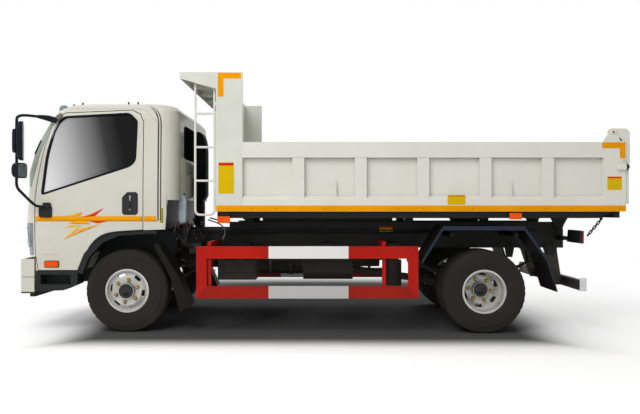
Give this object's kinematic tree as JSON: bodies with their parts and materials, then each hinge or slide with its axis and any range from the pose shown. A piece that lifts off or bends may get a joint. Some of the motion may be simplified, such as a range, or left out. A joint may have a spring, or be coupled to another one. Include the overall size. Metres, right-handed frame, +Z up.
{
  "type": "dump truck",
  "caption": "Two-axle cab-over dump truck with tipping bed, guard canopy, top-hung tailgate, tilting cab, opening doors, steered front wheels and twin rear wheels.",
  "frame": {"origin": "on the ground below the middle of the truck's box", "axes": "+X to the rear, +Y to the truck's right, +Z up"},
  "size_m": [5.9948, 2.4594, 2.53],
  "materials": {
    "chassis_paint": "satin black chassis paint",
    "bed_paint": "gloss pale grey paint",
    "cab_paint": "gloss cream paint",
    "spring_steel": "black painted forged steel",
    "cast_grey": "grey painted casting",
    "store_black": "satin black",
    "tank_metal": "brushed tank metal",
    "exhaust_metal": "dull steel",
    "guard_red": "gloss red paint, white middle band",
    "fender_grey": "dark blue-grey moulded plastic",
    "underrun_metal": "silver grey paint",
    "tail_red": "red lamp lens",
    "black_plastic": "grained black plastic",
    "window_glass": "clear green-tinted glass",
    "lamp_lens": "clear lamp lens over chrome bowl",
    "seat_cloth": "dark grey woven cloth",
    "dash_plastic": "dark grey grained plastic",
    "hoist_paint": "satin black cylinder paint",
    "rod_chrome": "hard chrome",
    "tyre_rubber": "black rubber",
    "rim_paint": "light grey wheel paint"
  },
  "bodies": {
    "chassis": {"frame_rails": "chassis_paint", "tipper_subframe": "chassis_paint", "leaf_springs": "spring_steel", "drive_line": "cast_grey", "engine_block": "cast_grey", "air_and_battery": "store_black", "fuel_tank": "tank_metal", "exhaust": "exhaust_metal", "side_guards": "guard_red", "mudguards": "fender_grey", "rear_underrun_bar": "underrun_metal", "tail_lamps": "tail_red", "front_bumper": "cab_paint", "air_intake": "black_plastic", "front_axle": "spring_steel", "rear_axle": "chassis_paint"},
    "cab": {"cab_shell": "cab_paint", "cab_windows": "window_glass", "headlamps": "lamp_lens", "front_grille": "black_plastic", "cab_steps": "black_plastic", "seats": "seat_cloth", "dashboard": "dash_plastic"},
    "left_door": {"door_left": "cab_paint", "door_glass_left": "window_glass", "mirror_left": "black_plastic"},
    "right_door": {"door_right": "cab_paint", "door_glass_right": "window_glass", "mirror_right": "black_plastic"},
    "bed": {"bed_tub": "bed_paint", "headboard": "bed_paint", "bed_underframe": "chassis_paint", "ladder": "bed_paint"},
    "gate": {"tailgate": "bed_paint"},
    "barrel": {"hoist_barrel": "hoist_paint"},
    "piston": {"hoist_rod": "rod_chrome"},
    "left_knuckle": {"knuckle_left": "spring_steel"},
    "right_knuckle": {"knuckle_right": "spring_steel"},
    "steering_link": {"tie_rod": "spring_steel"},
    "front_left_wheel": {"front_tyre_left": "tyre_rubber", "front_rim_left": "rim_paint"},
    "front_right_wheel": {"front_tyre_right": "tyre_rubber", "front_rim_right": "rim_paint"},
    "rear_left_wheel": {"rear_tyres_left": "tyre_rubber", "rear_rims_left": "rim_paint"},
    "rear_right_wheel": {"rear_tyres_right": "tyre_rubber", "rear_rims_right": "rim_paint"}
  },
  "joints": [
    {"name": "cab_tilt", "type": "hinge", "parent": "chassis", "child": "cab", "pos_m": [-2.935, 0, 0.732], "axis": [0, -1, 0], "range_deg": [0, 45]},
    {"name": "left_door_hinge", "type": "hinge", "parent": "cab", "child": "left_door", "pos_m": [-2.796, -0.975, 1.3], "axis": [0, 0, -1], "range_deg": [0, 70]},
    {"name": "right_door_hinge", "type": "hinge", "parent": "cab", "child": "right_door", "pos_m": [-2.796, 0.975, 1.3], "axis": [0, 0, 1], "range_deg": [0, 70]},
    {"name": "bed_tip", "type": "hinge", "parent": "chassis", "child": "bed", "pos_m": [2.53, 0, 1.035], "axis": [0, 1, 0], "range_deg": [0, 45]},
    {"name": "gate_swing", "type": "hinge", "parent": "bed", "child": "gate", "pos_m": [2.822, 0, 1.954], "axis": [0, -1, 0], "range_deg": [0, 90]},
    {"name": "hoist_tilt", "type": "hinge", "parent": "chassis", "child": "barrel", "pos_m": [0.4, 0, 0.7], "axis": [0, -1, 0], "range_deg": [0, 21]},
    {"name": "hoist_stroke", "type": "slide", "parent": "barrel", "child": "piston", "axis": [0.9642, 0, 0.2652], "range_m": [0, 0.49]},
    {"name": "left_steer", "type": "hinge", "parent": "chassis", "child": "left_knuckle", "pos_m": [-1.9, -0.76, 0.406], "axis": [0, 0, 1], "range_deg": [-33, 33]},
    {"name": "right_steer", "type": "hinge", "parent": "chassis", "child": "right_knuckle", "pos_m": [-1.9, 0.76, 0.406], "axis": [0, 0, 1], "range_deg": [-33, 33]},
    {"name": "link_pivot", "type": "hinge", "parent": "left_knuckle", "child": "steering_link", "pos_m": [-1.76, -0.76, 0.3177], "axis": [0, 0, 1], "range_deg": [-33, 33]},
    {"name": "front_left_spin", "type": "hinge", "parent": "left_knuckle", "child": "front_left_wheel", "pos_m": [-1.9, -0.857, 0.406], "axis": [0, 1, 0], "continuous": true},
    {"name": "front_right_spin", "type": "hinge", "parent": "right_knuckle", "child": "front_right_wheel", "pos_m": [-1.9, 0.857, 0.406], "axis": [0, 1, 0], "continuous": true},
    {"name": "rear_left_spin", "type": "hinge", "parent": "chassis", "child": "rear_left_wheel", "pos_m": [1.6, -0.8145, 0.406], "axis": [0, 1, 0], "continuous": true},
    {"name": "rear_right_spin", "type": "hinge", "parent": "chassis", "child": "rear_right_wheel", "pos_m": [1.6, 0.8145, 0.406], "axis": [0, 1, 0], "continuous": true}
  ],
  "couplings": [
    {"joint": "hoist_tilt", "follows": "bed_tip", "ratio": 0.4645},
    {"joint": "hoist_stroke", "follows": "bed_tip", "m_per_rad": 0.6165},
    {"joint": "right_steer", "follows": "left_steer", "ratio": 1},
    {"joint": "link_pivot", "follows": "left_steer", "ratio": -1}
  ]
}
